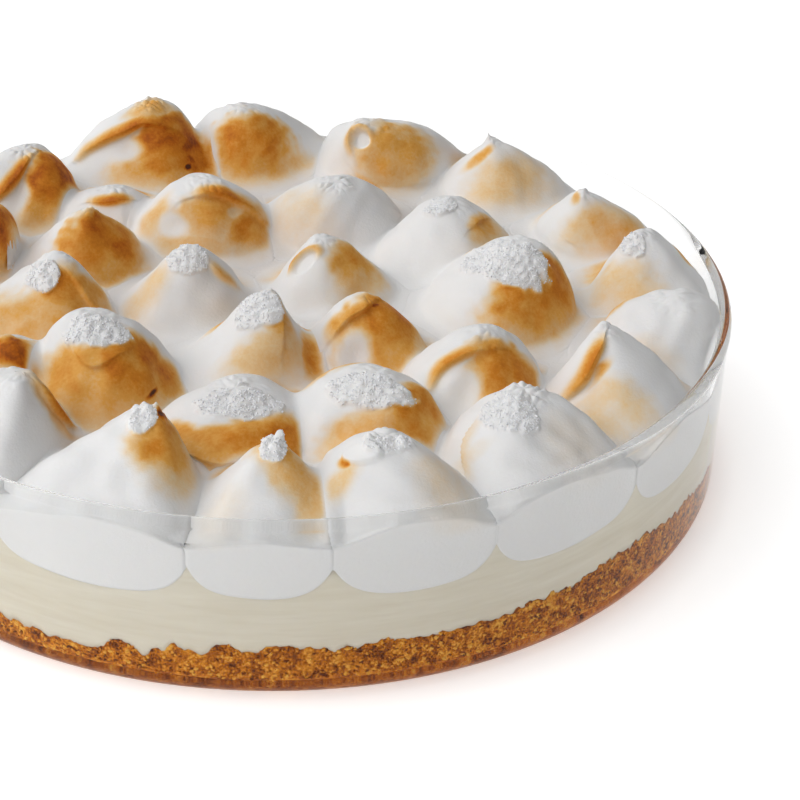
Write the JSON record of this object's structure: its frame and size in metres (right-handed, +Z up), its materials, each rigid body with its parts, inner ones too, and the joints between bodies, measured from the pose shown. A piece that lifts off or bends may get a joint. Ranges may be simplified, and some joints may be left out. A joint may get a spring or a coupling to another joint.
{
  "type": "lemon pie",
  "caption": "Round lemon pie in a clear straight-walled glass dish: crumb crust, smooth lemon filling and a full crown of toasted meringue kisses.",
  "frame": {"origin": "centre of the flat underside of the dish, on the surface it stands on", "axes": "+Z up, along the dish's round axis; the side with the kisses pressed on the glass that the picture shows faces -Y"},
  "size_m": [0.2408, 0.2408, 0.062],
  "materials": {
    "glass": "clear polished glass",
    "crumb": "baked biscuit crumb",
    "lemon_filling": "smooth pale lemon cream",
    "meringue": "soft white meringue, toasted golden"
  },
  "bodies": {
    "root": {"glass_dish": "glass", "crumb_crust": "crumb", "lemon_filling": "lemon_filling", "meringue_01": "meringue", "meringue_02": "meringue", "meringue_03": "meringue", "meringue_04": "meringue", "meringue_05": "meringue", "meringue_06": "meringue", "meringue_07": "meringue", "meringue_08": "meringue", "meringue_09": "meringue", "meringue_10": "meringue", "meringue_11": "meringue", "meringue_12": "meringue", "meringue_13": "meringue", "meringue_14": "meringue", "meringue_15": "meringue", "meringue_16": "meringue", "meringue_17": "meringue", "meringue_18": "meringue", "meringue_19": "meringue", "meringue_20": "meringue", "meringue_21": "meringue", "meringue_22": "meringue", "meringue_23": "meringue", "meringue_24": "meringue", "meringue_25": "meringue", "meringue_26": "meringue", "meringue_27": "meringue", "meringue_28": "meringue", "meringue_29": "meringue", "meringue_30": "meringue", "meringue_31": "meringue", "meringue_32": "meringue", "meringue_33": "meringue"}
  },
  "joints": []
}
